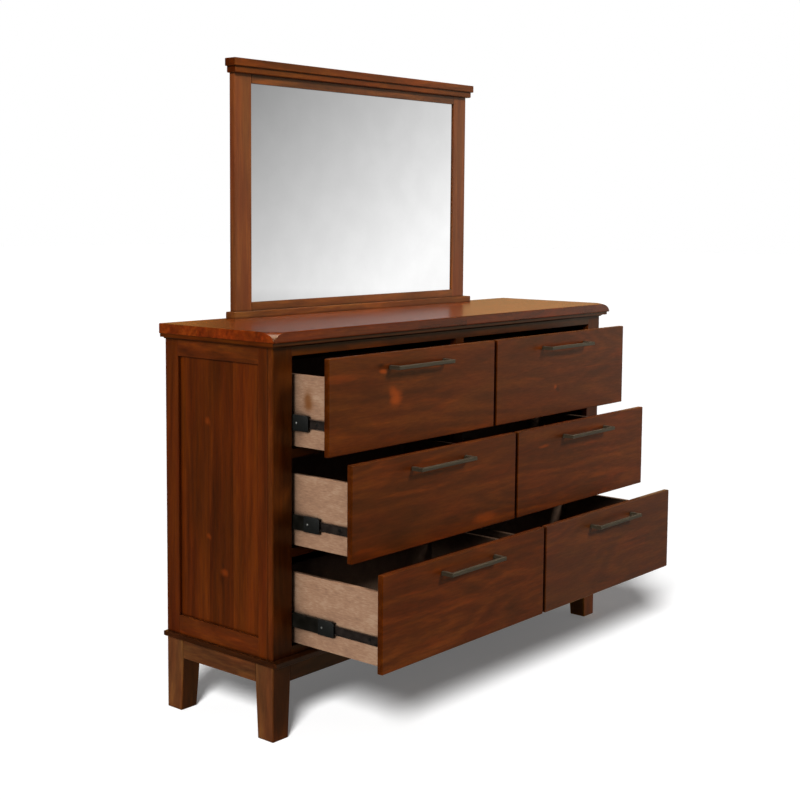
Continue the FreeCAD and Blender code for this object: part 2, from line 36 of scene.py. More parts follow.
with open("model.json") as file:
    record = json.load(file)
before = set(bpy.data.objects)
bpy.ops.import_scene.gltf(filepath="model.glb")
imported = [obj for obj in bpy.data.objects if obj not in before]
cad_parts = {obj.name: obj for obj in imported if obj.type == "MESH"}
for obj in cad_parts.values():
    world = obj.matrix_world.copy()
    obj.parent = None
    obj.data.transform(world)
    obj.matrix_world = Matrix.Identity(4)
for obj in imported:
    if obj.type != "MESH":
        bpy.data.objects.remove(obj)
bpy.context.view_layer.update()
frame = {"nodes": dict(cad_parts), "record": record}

MM = 0.001


# Shared tools
def linear(hex_colour):
    """A colour written as sRGB hex, as the linear numbers that Blender shades with."""
    channels = [int(hex_colour[start:start + 2], 16) / 255 for start in (1, 3, 5)]
    return tuple(c / 12.92 if c <= 0.04045 else ((c + 0.055) / 1.055) ** 2.4 for c in channels)


def shade(hex_colour):
    """The same with full opacity, for sockets that take four numbers."""
    return (*linear(hex_colour), 1.0)


def node(tree, kind, inputs=None, stops=None, **settings):
    """Add a node with its settings, its input values or links, and its ramp stops.

    An input goes by its name, or by its number where several share a name.
    """
    made = tree.nodes.new(kind)
    for name, value in settings.items():
        setattr(made, name, value)
    for socket, value in (inputs or {}).items():
        if isinstance(value, bpy.types.NodeSocket):
            tree.links.new(value, made.inputs[socket])
        else:
            made.inputs[socket].default_value = value
    if stops:
        elements = made.color_ramp.elements
        while len(elements) < len(stops):
            elements.new(1.0)
        for element, (position, colour) in zip(elements, stops):
            element.position = position
            element.color = colour
    return made


def maths(tree, operation, *values, **settings):
    """The result of a sum worked out on values or links."""
    made = node(tree, "ShaderNodeMath", dict(enumerate(values)), operation=operation, **settings)
    return made.outputs[0]


def ranged(tree, value, low, high, start=0.0, end=1.0, **settings):
    """A value that runs from low to high, made to run from start to end."""
    made = node(tree, "ShaderNodeMapRange", {0: value, 1: low, 2: high, 3: start, 4: end}, **settings)
    return made.outputs[0]


def blend(tree, amount, under, over, blend_type="MIX"):
    """A colour laid over another, or multiplied with it, by an amount."""
    made = node(tree, "ShaderNodeMix", {0: amount, 6: under, 7: over}, data_type="RGBA",
                blend_type=blend_type)
    return made.outputs[2]


def grey(tree, value):
    """A value as a colour."""
    made = node(tree, "ShaderNodeCombineColor", {0: value, 1: value, 2: value})
    return made.outputs[0]


def new_material(name):
    """An empty node material, and the tree to build it in."""
    material = bpy.data.materials.new(name)
    material.use_nodes = True
    tree = material.node_tree
    tree.nodes.clear()
    return material, tree


def surfaced(material, tree, inputs):
    """The material, closed with one surface that has these inputs."""
    surface = node(tree, "ShaderNodeBsdfPrincipled", inputs)
    node(tree, "ShaderNodeOutputMaterial", {"Surface": surface.outputs[0]})
    return material


def mottled(tree, scale, detail, stops, **inputs):
    """An even cloudy pattern, in cycles per metre, and the tones it runs through."""
    coordinates = node(tree, "ShaderNodeTexCoord")
    clouds = node(tree, "ShaderNodeTexNoise", {"Vector": coordinates.outputs["Object"],
                                               "Scale": scale, "Detail": detail, **inputs})
    tone = node(tree, "ShaderNodeValToRGB", {0: clouds.outputs[0]},
                stops=[(position, shade(colour)) for position, colour in stops])
    return clouds, tone


def finish(names, material):
    """Give a material to every CAD node with one of these names or material slots."""
    for entry in frame["record"]["subparts"]:
        if entry["material_slot"] in names or entry["node"] in names:
            mesh = frame["nodes"][entry["node"]].data
            mesh.materials.clear()
            mesh.materials.append(material)


# Sizes and colours that a user would change
class DresserWood(bpy.types.PropertyGroup):
    """Colours and pattern sizes of the stained hardwood."""

    dark: bpy.props.FloatVectorProperty(
        name="Dark grain", description="Stain in the pores and the dark growth rings",
        default=linear("#2f1105"), subtype="COLOR", min=0, max=1)
    body: bpy.props.FloatVectorProperty(
        name="Body", description="Stain on the plain wood",
        default=linear("#4f2109"), subtype="COLOR", min=0, max=1)
    light: bpy.props.FloatVectorProperty(
        name="Light grain", description="Stain where the wood takes it least",
        default=linear("#6a330f"), subtype="COLOR", min=0, max=1)
    knot: bpy.props.FloatVectorProperty(
        name="Knot", description="Orange wood round a knot",
        default=linear("#974311"), subtype="COLOR", min=0, max=1)
    ring_spacing: bpy.props.FloatProperty(
        name="Ring spacing", description="Distance between growth rings on a board's face",
        default=9 * MM, unit="LENGTH")
    pore_width: bpy.props.FloatProperty(
        name="Pore width", description="Width of a pore line, drawn about five times too coarse so that "
        "it shows at this distance", default=1.6 * MM, unit="LENGTH")


class DresserFittings(bpy.types.PropertyGroup):
    """Sizes of the small fittings."""

    screw_radius: bpy.props.FloatProperty(
        name="Screw head", description="Radius of a screw's head", default=4 * MM, unit="LENGTH")
    rivet_radius: bpy.props.FloatProperty(
        name="Rivet head", description="Radius of a rivet's head", default=3.2 * MM, unit="LENGTH")
    clip_length: bpy.props.FloatProperty(
        name="Clip", description="Length of the clip on the front of a middle slide member",
        default=52 * MM, unit="LENGTH")
    clip_wall: bpy.props.FloatProperty(
        name="Clip wall", description="Thickness of the clip", default=1 * MM, unit="LENGTH")


class DresserStudio(bpy.types.PropertyGroup):
    """The camera and the lights."""

    side_strength: bpy.props.FloatProperty(
        name="Side", description="Broad light from the left", default=2.5, min=0)
    front_strength: bpy.props.FloatProperty(
        name="Front", description="Light from the front, a little to the right", default=2.9, min=0)
    floor_strength: bpy.props.FloatProperty(
        name="Floor", description="Light on the floor alone, that draws a single shadow", default=5.15, min=0)
    fill: bpy.props.FloatProperty(
        name="Fill", description="Strength of the light from all round", default=0.1, min=0)
    floor_glow: bpy.props.FloatProperty(
        name="Floor glow", description="What the camera sees added to the floor, to bring it to white",
        default=0.12, min=0)
    camera_place: bpy.props.FloatVectorProperty(
        name="Camera", description="Where the camera stands", default=(-3.0651, -2.3538, 1.3041),
        subtype="TRANSLATION", unit="LENGTH")


# Wood
def along_grain(tree, axis):
    """Object coordinates, turned so that the first one runs along the grain."""
    coordinates = node(tree, "ShaderNodeTexCoord")
    parts = node(tree, "ShaderNodeSeparateXYZ", {0: coordinates.outputs["Object"]})
    order = {"X": (0, 1, 2), "Y": (1, 0, 2), "Z": (2, 0, 1)}[axis]
    turned = node(tree, "ShaderNodeCombineXYZ", {place: parts.outputs[source]
                                                 for place, source in enumerate(order)})
    return turned.outputs[0], parts


# The figure's layers: long streaks 600 by 33 mm, short ones 140 by 29 mm, and broad cloudy changes
# 900 by 140 mm. Each has its cycles in a metre along and across the grain, its detail, and how much
# it counts
FIGURE = ((1.6, 30.0, 5.0, 0.9), (7.0, 34.0, 3.0, 0.35), (1.1, 7.0, 1.0, 0.55))
# How much pores, growth rings and the difference between boards count
PORES_COUNT, RINGS_COUNT, BOARDS_COUNT = 0.75, 0.10, 0.14
# The gloss, tinted by the toner in the lacquer
AMBER, RED = (1.0, 0.74, 0.42), (1.0, 0.56, 0.15)


def streaks(tree, vector, along, across, detail=2.0, **inputs):
    """A cloudy pattern drawn long one way and narrow the other, in cycles per metre."""
    scaled = node(tree, "ShaderNodeMapping", {0: vector, "Scale": (along, across, across)},
                  vector_type="POINT")
    return node(tree, "ShaderNodeTexNoise", {"Vector": scaled.outputs[0], "Scale": 1.0,
                                             "Detail": detail, "Roughness": 0.6, **inputs})


def stained_hardwood(name, axis, boards=None, offset=0.0, contrast=1.0, tone=(1.0, 1.0, 1.0),
                     specular=0.5, tint=AMBER, roughness=0.34, knots=(), runs=None, facing=None,
                     reach=9 * MM, flames=0.4, longer=1.0, ease=1.5 * MM, pore_depth=0.12):
    """Plain-sawn hardwood, stained red-brown and lacquered satin.

    The stain collects in the pores and dark rings, so the eye sees soft streaks with finer
    lines in them, redder where the wood took it less, warm round a knot, and, in a wide
    piece, boards of slightly different tone glued edge to edge.

    The grain runs along axis. Boards are given by the direction they lie side by side in, their
    width and where one begins, and mitred runs by the half width and the front of what they go
    round. Tone multiplies the wood's colours, and facing does so again on faces that look one way;
    with these, some pieces are given painted light and others painted shade. Reach is how far
    painted shade spreads out of corners and recesses.
    """
    wood = bpy.context.scene.dresser_wood
    dark, body, light, knot = [tuple(c * t for c, t in zip(one, tone))
                               for one in (wood.dark, wood.body, wood.light, wood.knot)]
    material, tree = new_material(name)
    vector, parts = along_grain(tree, axis)
    if runs:
        vector = grain_of_mitred_runs(tree, parts, *runs)
    vector = node(tree, "ShaderNodeVectorMath", {0: vector, 1: (1 / longer, 1, 1), 2: (offset,) * 3},
                  operation="MULTIPLY_ADD").outputs[0]
    board_tone = 0.5
    if boards:
        vector, board_tone = glued_boards(tree, vector, parts, *boards)

    # The rings: contour lines of a slow field close into long loops. The field goes from its
    # lowest to its highest in about its span, across the grain
    span = 110 * MM
    field = streaks(tree, vector, 1.0, 6.0, 1.5, Distortion=0.2)
    phase = maths(tree, "MULTIPLY", field.outputs[0], 2 * math.pi * span / wood.ring_spacing)
    rings = maths(tree, "SINE", phase)
    pores = streaks(tree, vector, 30.0, 0.35 / wood.pore_width, 3.0)
    layers = [(streaks(tree, vector, *one[:3]).outputs[0], one[3]) for one in FIGURE]
    layers += [(pores.outputs[0], PORES_COUNT), (board_tone, BOARDS_COUNT)]
    # Half of what they all come to is taken off, so that plain wood falls in the middle of the ramp
    total = 0.5 - contrast * sum(amount for source, amount in layers) / 2
    for source, amount in layers + [(rings, RINGS_COUNT)]:
        total = maths(tree, "MULTIPLY_ADD", source, amount * contrast, total)
    colour = node(tree, "ShaderNodeValToRGB", {0: total},
                  stops=[(0.15, (*dark, 1)), (0.50, (*body, 1)), (0.80, (*light, 1)), (1.0, (*knot, 1))])
    result = reddened(tree, vector, colour.outputs[0], knot, flames * contrast)
    ragged = streaks(tree, vector, 12.0, 40.0, 3.0)
    for centre, size, strength, kind in knots:
        patch = knot if kind == "glow" else dark
        result = with_knot(tree, result, ragged.outputs["Color"], centre, size, strength, patch)
    for direction, change in (facing or {}).items():
        result = toned_where_facing(tree, result, direction, change)
    # Painted shade in corners and recesses, thinning out over the reach
    result = with_painted_shade(tree, result, reach)

    # The lacquer sinks a little into the pores, where it is duller too
    duller = 0.4 * pore_depth
    rough = ranged(tree, pores.outputs[0], 0.3, 0.7, roughness + duller, roughness - duller)
    eased = node(tree, "ShaderNodeBevel", {"Radius": ease}, samples=4)
    bump = node(tree, "ShaderNodeBump", {"Height": pores.outputs[0], "Strength": pore_depth,
                                         "Distance": 0.25 * MM, "Normal": eased.outputs[0]})
    return surfaced(material, tree, {"Base Color": result, "Roughness": rough, "IOR": 1.5,
                                     "Specular IOR Level": specular, "Specular Tint": (*tint, 1),
                                     "Normal": bump.outputs[0]})


def glued_boards(tree, vector, parts, across, width, origin):
    """The grain moved aside from board to board, and a tone for each; left and right differ too."""
    number = maths(tree, "MULTIPLY_ADD", parts.outputs[across], 1 / width, -origin / width)
    number = maths(tree, "FLOOR", number)
    side = maths(tree, "GREATER_THAN", parts.outputs["X"], 0.0)
    more_than_boards = 17.0
    number = maths(tree, "MULTIPLY_ADD", side, more_than_boards, number)
    board = node(tree, "ShaderNodeTexWhiteNoise", {"W": number}, noise_dimensions="1D")
    shift = node(tree, "ShaderNodeVectorMath", {0: board.outputs["Color"], 1: (7.0, 3.0, 3.0)},
                 operation="MULTIPLY")
    moved = node(tree, "ShaderNodeVectorMath", {0: vector, 1: shift.outputs[0]})
    return moved.outputs[0], board.outputs["Value"]


def reddened(tree, vector, under, knot, strength):
    """Short flame-like streaks of barer wood, and the stain's slow drift from red to olive brown."""
    flames = streaks(tree, vector, 5.5, 42.0, 2.0, Distortion=0.4)
    amount = ranged(tree, flames.outputs[0], 0.56, 0.78, 0.0, strength)
    barer = blend(tree, amount, under, (*knot, 1))
    drift = streaks(tree, vector, 6.0, 20.0, 2.0)
    hue = node(tree, "ShaderNodeValToRGB", {0: drift.outputs[0]},
               stops=[(0.35, (0.94, 1.06, 1.05, 1)), (0.65, (1.05, 0.95, 0.94, 1))])
    return blend(tree, 1.0, barer, hue.outputs[0], "MULTIPLY")


def grain_of_mitred_runs(tree, parts, side_at, front_at):
    """Grain along X in front runs and along Y in side runs, parted on the mitre."""
    outwards = maths(tree, "ABSOLUTE", parts.outputs["X"])
    outwards = maths(tree, "ADD", outwards, -side_at)
    forwards = maths(tree, "MULTIPLY_ADD", parts.outputs["Y"], -1.0, front_at)
    on_side = maths(tree, "GREATER_THAN", outwards, forwards)
    straight = node(tree, "ShaderNodeCombineXYZ", {0: parts.outputs["X"], 1: parts.outputs["Y"],
                                                   2: parts.outputs["Z"]})
    turned = node(tree, "ShaderNodeCombineXYZ", {0: parts.outputs["Y"], 1: parts.outputs["X"],
                                                 2: parts.outputs["Z"]})
    chosen = node(tree, "ShaderNodeMix", {0: on_side, 4: straight.outputs[0], 5: turned.outputs[0]},
                  data_type="VECTOR")
    return chosen.outputs[1]


def toned_where_facing(tree, under, direction, change):
    """Colours multiplied again on faces that look one way: painted light on sides that face the lamps,
    painted shade on sides that face away, and a tone of their own for a board's ends and edges.

    Two letters, such as XY, mean the faces that are cut across the corner between them.
    """
    surface = node(tree, "ShaderNodeNewGeometry")
    parts = node(tree, "ShaderNodeSeparateXYZ", {0: surface.outputs["True Normal"]})
    across = parts.outputs[direction[-1]] if direction[1:] else 1.0
    turned = maths(tree, "MULTIPLY", parts.outputs[direction[0]], across)
    turned = maths(tree, "ABSOLUTE", turned)
    start, full = (0.05, 0.3) if direction[1:] else (0.5, 0.9)
    return blend(tree, ranged(tree, turned, start, full), under, (*change, 1), "MULTIPLY")


def with_painted_shade(tree, under, reach, least=0.3, clear=0.85):
    """Painted shade in the corners where two pieces meet and in recesses, thinning out over a reach."""
    corner = node(tree, "ShaderNodeAmbientOcclusion", {"Distance": reach}, samples=8)
    amount = ranged(tree, corner.outputs["AO"], 0.4, clear, least, 1.0)
    return blend(tree, 1.0, under, grey(tree, amount), "MULTIPLY")


def with_knot(tree, under, ragged, centre, size, strength, colour):
    """A patch of another colour over the wood, with a ragged edge that fades out."""
    coordinates = node(tree, "ShaderNodeTexCoord")
    near = node(tree, "ShaderNodeVectorMath", {0: coordinates.outputs["Object"], 1: centre},
                operation="SUBTRACT")
    flat = node(tree, "ShaderNodeVectorMath", {0: near.outputs[0],
                                               1: tuple(1 / length for length in size)},
                operation="MULTIPLY")
    # The pattern that tears the edge lies around a half, so half its strength is taken off again
    tear = 1.6
    torn = node(tree, "ShaderNodeVectorMath", {0: ragged, 1: (tear,) * 3, 2: flat.outputs[0]},
                operation="MULTIPLY_ADD")
    distance = node(tree, "ShaderNodeVectorMath", {0: torn.outputs[0], 1: (tear / 2,) * 3},
                    operation="DISTANCE")
    amount = ranged(tree, distance.outputs["Value"], 0.1, 1.3, strength, 0.0,
                    interpolation_type="SMOOTHERSTEP")
    return blend(tree, amount, under, (*colour, 1))


def stain(names, finish_name, axis, **settings):
    """Give the CAD nodes with these names or material slots a stained hardwood of their own."""
    finish(names, stained_hardwood(finish_name, axis, **settings))


class DRESSER_OT_finish_case(bpy.types.Operator):
    """Stain the top, the face frame, the sides, the base and the legs."""

    bl_idname = "dresser.finish_case"
    bl_label = "Finish the case"

    def execute(self, context):
        # Each knot has its centre, its reach in the three directions, its strength and its kind
        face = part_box("side_panels")[0].x
        knots = [((face, 198 * MM, 481 * MM), (60 * MM, 12 * MM, 9 * MM), 0.35, "glow"),
                 ((face, 143 * MM, 395 * MM), (60 * MM, 15 * MM, 12 * MM), 0.4, "glow"),
                 ((face, 150 * MM, 380 * MM), (60 * MM, 12 * MM, 24 * MM), 0.5, "dark"),
                 ((face, 202 * MM, 776 * MM), (60 * MM, 12 * MM, 12 * MM), 0.3, "glow")]
        # The mouldings go round the case, so their runs part at its front corners. The front
        # apron ends inside the legs, and the side aprons lie outside that
        case_side, case_front, apron_side = 742 * MM, -39 * MM, 700 * MM
        # The top's corner cuts are darkened, painted shade; its ends are made lighter and its front edge
        # darker than its face
        stain(["top_wood"], "lacquered_top_boards", "X", boards=("Y", 104 * MM, 0.0), offset=1.7,
              contrast=0.7, tone=(1.40, 1.07, 0.35), roughness=0.25, ease=4 * MM, pore_depth=0.025,
              facing={"X": (1.47, 1.27, 1.5), "Y": (0.58, 0.5, 0.3), "XY": (0.4, 0.36, 0.5)})
        # Painted shade: the rails between the drawers are toned dark and shaded far out of their corners
        stain(["rail_wood"], "stained_rails", "X", offset=3.1, tone=(0.46, 0.44, 0.22), tint=RED,
              reach=60 * MM)
        # Painted shade: the face stiles' fronts are toned dark where the drawers shade them, and their sides
        # are made lighter again
        stain(["face_stiles"], "stained_face_stiles", "Z", offset=0.4, contrast=0.6,
              tone=(0.46, 0.46, 0.25), tint=RED, specular=0.3, facing={"X": (2.4, 2.45, 4.2)})
        stain(["side_stiles"], "stained_side_stiles", "Z", offset=1.4, contrast=0.6,
              tone=(1.0, 0.76, 0.18), flames=0.15, longer=2.0)
        # Painted shade on the legs' fronts, toned dark, and painted light on their sides
        stain(["leg_wood"], "stained_legs", "Z", offset=2.9, contrast=0.6, tone=(0.68, 0.6, 0.15),
              tint=RED, facing={"X": (2.4, 4.5, 32.0)})
        stain(["side_rail_wood"], "stained_side_rails", "Y", offset=2.2, contrast=0.7,
              tone=(1.26, 1.12, 0.58))
        stain(["panel_wood"], "stained_side_panels", "Z", boards=("Y", 88 * MM, 20 * MM), offset=5.3,
              contrast=0.75, tone=(1.06, 0.84, 0.14), knots=knots, flames=0.12, longer=2.2)
        # Painted shade on the fronts of the mouldings and aprons, toned dark under the top and the drawers,
        # and painted light on their sides
        stain(["top_moulding"], "stained_top_moulding", "X", offset=4.6, contrast=0.7,
              runs=(case_side, case_front), tone=(0.42, 0.38, 0.17), tint=RED,
              facing={"X": (2.3, 2.2, 2.2)})
        stain(["base_moulding"], "stained_base_moulding", "X", offset=4.9, contrast=0.7,
              runs=(case_side, case_front), tone=(0.42, 0.5, 0.35), facing={"X": (1.25, 1.15, 1.2)})
        stain(["apron_wood"], "stained_aprons", "X", offset=8.2, contrast=0.7,
              runs=(apron_side, 0.0), tone=(0.48, 0.55, 0.4), tint=RED,
              facing={"X": (2.35, 3.2, 8.5)})
        return {"FINISHED"}


class DRESSER_OT_finish_fronts(bpy.types.Operator):
    """Stain the drawer fronts, one plainer than the rest, with knots on the upper four."""

    bl_idname = "dresser.finish_fronts"
    bl_label = "Finish the drawer fronts"

    def execute(self, context):
        # Knots as on the side panels
        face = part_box("top_left_drawer_front")[0].y
        lower_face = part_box("middle_left_drawer_front")[0].y
        knots = [((-520 * MM, face, 862 * MM), (60 * MM, 60 * MM, 20 * MM), 0.45, "dark"),
                 ((-440 * MM, face, 860 * MM), (20 * MM, 60 * MM, 17 * MM), 0.5, "glow"),
                 ((-428 * MM, face, 838 * MM), (34 * MM, 60 * MM, 26 * MM), 0.9, "glow"),
                 ((-479 * MM, face, 911 * MM), (17 * MM, 60 * MM, 9 * MM), 0.85, "glow"),
                 ((-486 * MM, face, 927 * MM), (17 * MM, 60 * MM, 6 * MM), 0.9, "dark"),
                 ((298 * MM, face, 802 * MM), (9 * MM, 60 * MM, 8 * MM), 0.7, "glow"),
                 ((313 * MM, face, 792 * MM), (13 * MM, 60 * MM, 9 * MM), 0.8, "dark"),
                 ((-144 * MM, lower_face, 498 * MM), (60 * MM, 60 * MM, 14 * MM), 0.5, "glow"),
                 ((127 * MM, lower_face, 655 * MM), (30 * MM, 60 * MM, 7 * MM), 0.5, "glow")]
        # Painted shadow round the pulls and painted shade in corners: on the fronts the shade reaches 30 mm
        stain(["front_wood"], "stained_drawer_fronts", "X", offset=0.9, contrast=0.75,
              tone=(0.71, 0.58, 0.35), tint=(1.0, 0.5, 0.06), roughness=0.36, knots=knots,
              reach=30 * MM)
        stain(["bottom_right_drawer_front"], "stained_plain_drawer_front", "X", offset=3.7,
              contrast=0.6, tone=(0.71, 0.7, 0.3), roughness=0.36, reach=30 * MM)
        return {"FINISHED"}


class DRESSER_OT_finish_mirror(bpy.types.Operator):
    """Stain the mirror's frame and silver its glass."""

    bl_idname = "dresser.finish_mirror"
    bl_label = "Finish the mirror"

    def execute(self, context):
        # Painted light: the mirror's frame is toned lighter than the case's wood, for the stronger light on
        # it; the cap's ends are darkened, painted shade
        stain(["mirror_stile_wood"], "stained_mirror_stiles", "Z", offset=6.1, contrast=0.55,
              tone=(1.73, 2.15, 3.1), flames=0.12, longer=2.2)
        stain(["mirror_rails", "mirror_sill"], "stained_mirror_rails", "X", offset=7.4, contrast=0.7,
              tone=(1.55, 2.12, 2.7))
        stain(["mirror_cap", "mirror_bed_moulding"], "stained_mirror_cap", "X", offset=9.7,
              contrast=0.7, tone=(1.4, 1.35, 0.9), tint=RED, facing={"X": (0.6, 0.4, 0.2)})
        finish(["mirror_glass"], silvered_glass())
        return {"FINISHED"}


def silvered_glass():
    """Float glass silvered behind: a clean, almost even reflection with a faint film of dust.

    The film is cloudy in patches of about 70 mm, as a cloth leaves it.
    """
    material, tree = new_material("silvered_float_glass")
    dust, tone = mottled(tree, 14.0, 3.0, [(0.35, "#f9f9f9"), (0.7, "#fdfdfd")])
    film = ranged(tree, dust.outputs[0], 0.3, 0.8, 0.0, 0.004)
    return surfaced(material, tree, {"Base Color": tone.outputs[0], "Metallic": 1.0, "Roughness": film})


class DRESSER_OT_finish_insides(bpy.types.Operator):
    """Give the drawer boxes their plywood, and the unseen boards softwood and hardboard."""

    bl_idname = "dresser.finish_insides"
    bl_label = "Finish the insides"

    def execute(self, context):
        finish(["box_plywood", "bottom_plywood"], birch_plywood())
        finish(["inner_wood", "inner_board"], planed_softwood())
        finish(["back_board"], brown_hardboard())
        return {"FINISHED"}


def birch_plywood():
    """Rotary-cut plywood, sealed: pinkish tan, blotched where the knife tore it, with fine flecks, a painted
    highlight on its top edges and painted shade inside the boxes.
    """
    material, tree = new_material("sealed_birch_plywood")
    vector = along_grain(tree, "Y")[0]
    # Figure 250 by 45 mm, blotches 38 by 23 mm, flecks 17 by 3 mm
    figure = streaks(tree, vector, 4.0, 22.0, 3.0, Distortion=0.6)
    blotches = streaks(tree, vector, 26.0, 44.0, 2.0)
    flecks = streaks(tree, vector, 60.0, 300.0)
    total = 0.0
    for source, amount in ((figure, 0.4), (blotches, 0.45), (flecks, 0.6)):
        total = maths(tree, "MULTIPLY_ADD", source.outputs[0], amount, total)
    tone = node(tree, "ShaderNodeValToRGB", {0: total},
                stops=[(0.5, shade("#886650")), (0.72, shade("#9d785d")), (0.95, shade("#af8f74"))])
    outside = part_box("top_left_drawer_box")[0].x
    knotted = with_knot(tree, tone.outputs[0], figure.outputs["Color"], (outside, -82 * MM, 847 * MM),
                        (60 * MM, 21 * MM, 38 * MM), 1.0, linear("#784820"))
    # Painted highlight: the boards' top edges are made lighter
    lit_top_edges = toned_where_facing(tree, knotted, "Z", (1.3, 1.25, 1.2))
    # Painted shade: the boxes' insides are darkened far out from their corners
    shaded_inside = with_painted_shade(tree, lit_top_edges, 400 * MM, 0.24, 0.6)
    bump = node(tree, "ShaderNodeBump", {"Height": flecks.outputs[0], "Strength": 0.2,
                                         "Distance": 0.2 * MM})
    return surfaced(material, tree, {"Base Color": shaded_inside, "Roughness": 0.62,
                                     "Specular IOR Level": 0.3, "Normal": bump.outputs[0]})


def planed_softwood():
    """Bare planed boards: dry and matt, with soft grain in bands about 25 mm wide."""
    material, tree = new_material("planed_softwood")
    vector = along_grain(tree, "Y")[0]
    figure = streaks(tree, vector, 2.0, 40.0, 4.0, Roughness=0.5, Distortion=0.4)
    tone = node(tree, "ShaderNodeValToRGB", {0: figure.outputs[0]},
                stops=[(0.3, shade("#3d2a1c")), (0.7, shade("#5a402c"))])
    # Painted shade: the case's inner boards are darkened far out from their corners
    shaded_inside = with_painted_shade(tree, tone.outputs[0], 300 * MM, 0.25)
    return surfaced(material, tree, {"Base Color": shaded_inside, "Roughness": 0.75,
                                     "Specular IOR Level": 0.25})


def brown_hardboard():
    """Pressed hardboard: even brown with a fibrous mottle of 4 mm and a slight sheen."""
    material, tree = new_material("pressed_hardboard")
    tone = mottled(tree, 260.0, 4.0, [(0.35, "#57402c"), (0.65, "#735740")], Roughness=0.65)[1]
    return surfaced(material, tree, {"Base Color": tone.outputs[0], "Roughness": 0.55,
                                     "Specular IOR Level": 0.3})


class DRESSER_OT_finish_metal(bpy.types.Operator):
    """Finish the slides and the pulls."""

    bl_idname = "dresser.finish_metal"
    bl_label = "Finish the metal"

    def execute(self, context):
        finish(["slide_steel"], rolled_steel("black_zinc_plated_steel", "#15140f", "#25231d"))
        drawer_members = [name for name in frame["nodes"] if name.endswith("_drawer_slides")]
        finish(drawer_members, rolled_steel("bronzed_zinc_plated_steel", "#2c2521", "#453b35"))
        finish(["pull_metal"], dark_pewter())
        return {"FINISHED"}


def rolled_steel(name, dark, light):
    """Rolled steel, plated and oiled: a soft gloss in the plating's own tone, with 22 mm smears."""
    material, tree = new_material(name)
    smears, tone = mottled(tree, 45.0, 3.0, [(0.3, dark), (0.75, light)])
    gloss = ranged(tree, smears.outputs[0], 0.3, 0.7, 0.28, 0.42)
    return surfaced(material, tree, {"Base Color": tone.outputs[0], "Metallic": 0.6, "Roughness": gloss})


def dark_pewter():
    """Die-cast metal, dark pewter plated and brushed along: greenish brown with a satin glint.

    The brush lines are drawn 1 mm wide, several times too coarse, so that they show.
    """
    material, tree = new_material("brushed_dark_pewter")
    coordinates = node(tree, "ShaderNodeTexCoord")
    brushing = streaks(tree, coordinates.outputs["Object"], 18.0, 900.0, Roughness=0.5)
    tone = node(tree, "ShaderNodeValToRGB", {0: brushing.outputs[0]},
                stops=[(0.3, shade("#453d2f")), (0.7, shade("#5d5443"))])
    gloss = ranged(tree, brushing.outputs[0], 0.3, 0.7, 0.34, 0.5)
    return surfaced(material, tree, {"Base Color": tone.outputs[0], "Metallic": 0.75, "Roughness": gloss})


# Small fittings
def select_faces(piece, test):
    """Go into edit mode with only the faces selected whose normal passes a test."""
    bpy.ops.object.mode_set(mode="EDIT")
    bpy.ops.mesh.select_mode(type="FACE")
    bpy.ops.mesh.select_all(action="DESELECT")
    mesh = bmesh.from_edit_mesh(piece.data)
    for face in mesh.faces:
        face.select_set(test(face.normal))
    bmesh.update_edit_mesh(piece.data)


def started():
    """The primitive just added, with its place and size taken into its mesh."""
    bpy.ops.object.transform_apply(location=True, rotation=True, scale=True)
    return bpy.context.object


def taken_mesh(piece, material):
    """The mesh of a finished model with its material, the model itself being put away."""
    mesh = piece.data
    mesh.materials.append(material)
    bpy.data.objects.remove(piece)
    return mesh


def model_screw(material):
    """Pan-head screw with a cross recess, its seat at zero and its head up."""
    radius = bpy.context.scene.dresser_fittings.screw_radius
    height, rounding = 2 * MM, 1.1 * MM
    blade_length, blade_width, blade_height, recess_depth, taper = 4.4 * MM, MM, 1.8 * MM, MM, 0.6
    bpy.ops.object.select_all(action="DESELECT")
    bpy.ops.mesh.primitive_cylinder_add(vertices=14, radius=radius, depth=height,
                                        location=(0, 0, height / 2))
    head = started()
    select_faces(head, lambda normal: normal.z > 0.9)
    bpy.ops.mesh.bevel(offset=rounding, segments=2)
    bpy.ops.object.mode_set(mode="OBJECT")
    # The recess is cut by the two crossed blades of a driver
    blade_middle = height - recess_depth + blade_height / 2
    for turn in (0, math.pi / 2):
        bpy.ops.object.select_all(action="DESELECT")
        bpy.ops.mesh.primitive_cube_add(size=1, location=(0, 0, blade_middle), rotation=(0, 0, turn),
                                        scale=(blade_length, blade_width, blade_height))
        blade = started()
        select_faces(blade, lambda normal: normal.z < -0.9)
        bpy.ops.transform.resize(value=(taper, taper, 1.0))
        bpy.ops.object.mode_set(mode="OBJECT")
        bpy.ops.object.select_all(action="DESELECT")
        bpy.context.view_layer.objects.active = head
        head.select_set(True)
        bpy.ops.object.modifier_add(type="BOOLEAN")
        head.modifiers[0].object = blade
        bpy.ops.object.modifier_apply(modifier=head.modifiers[0].name)
        bpy.data.objects.remove(blade)
    bpy.ops.object.shade_smooth_by_angle(angle=math.radians(35))
    return taken_mesh(head, material)


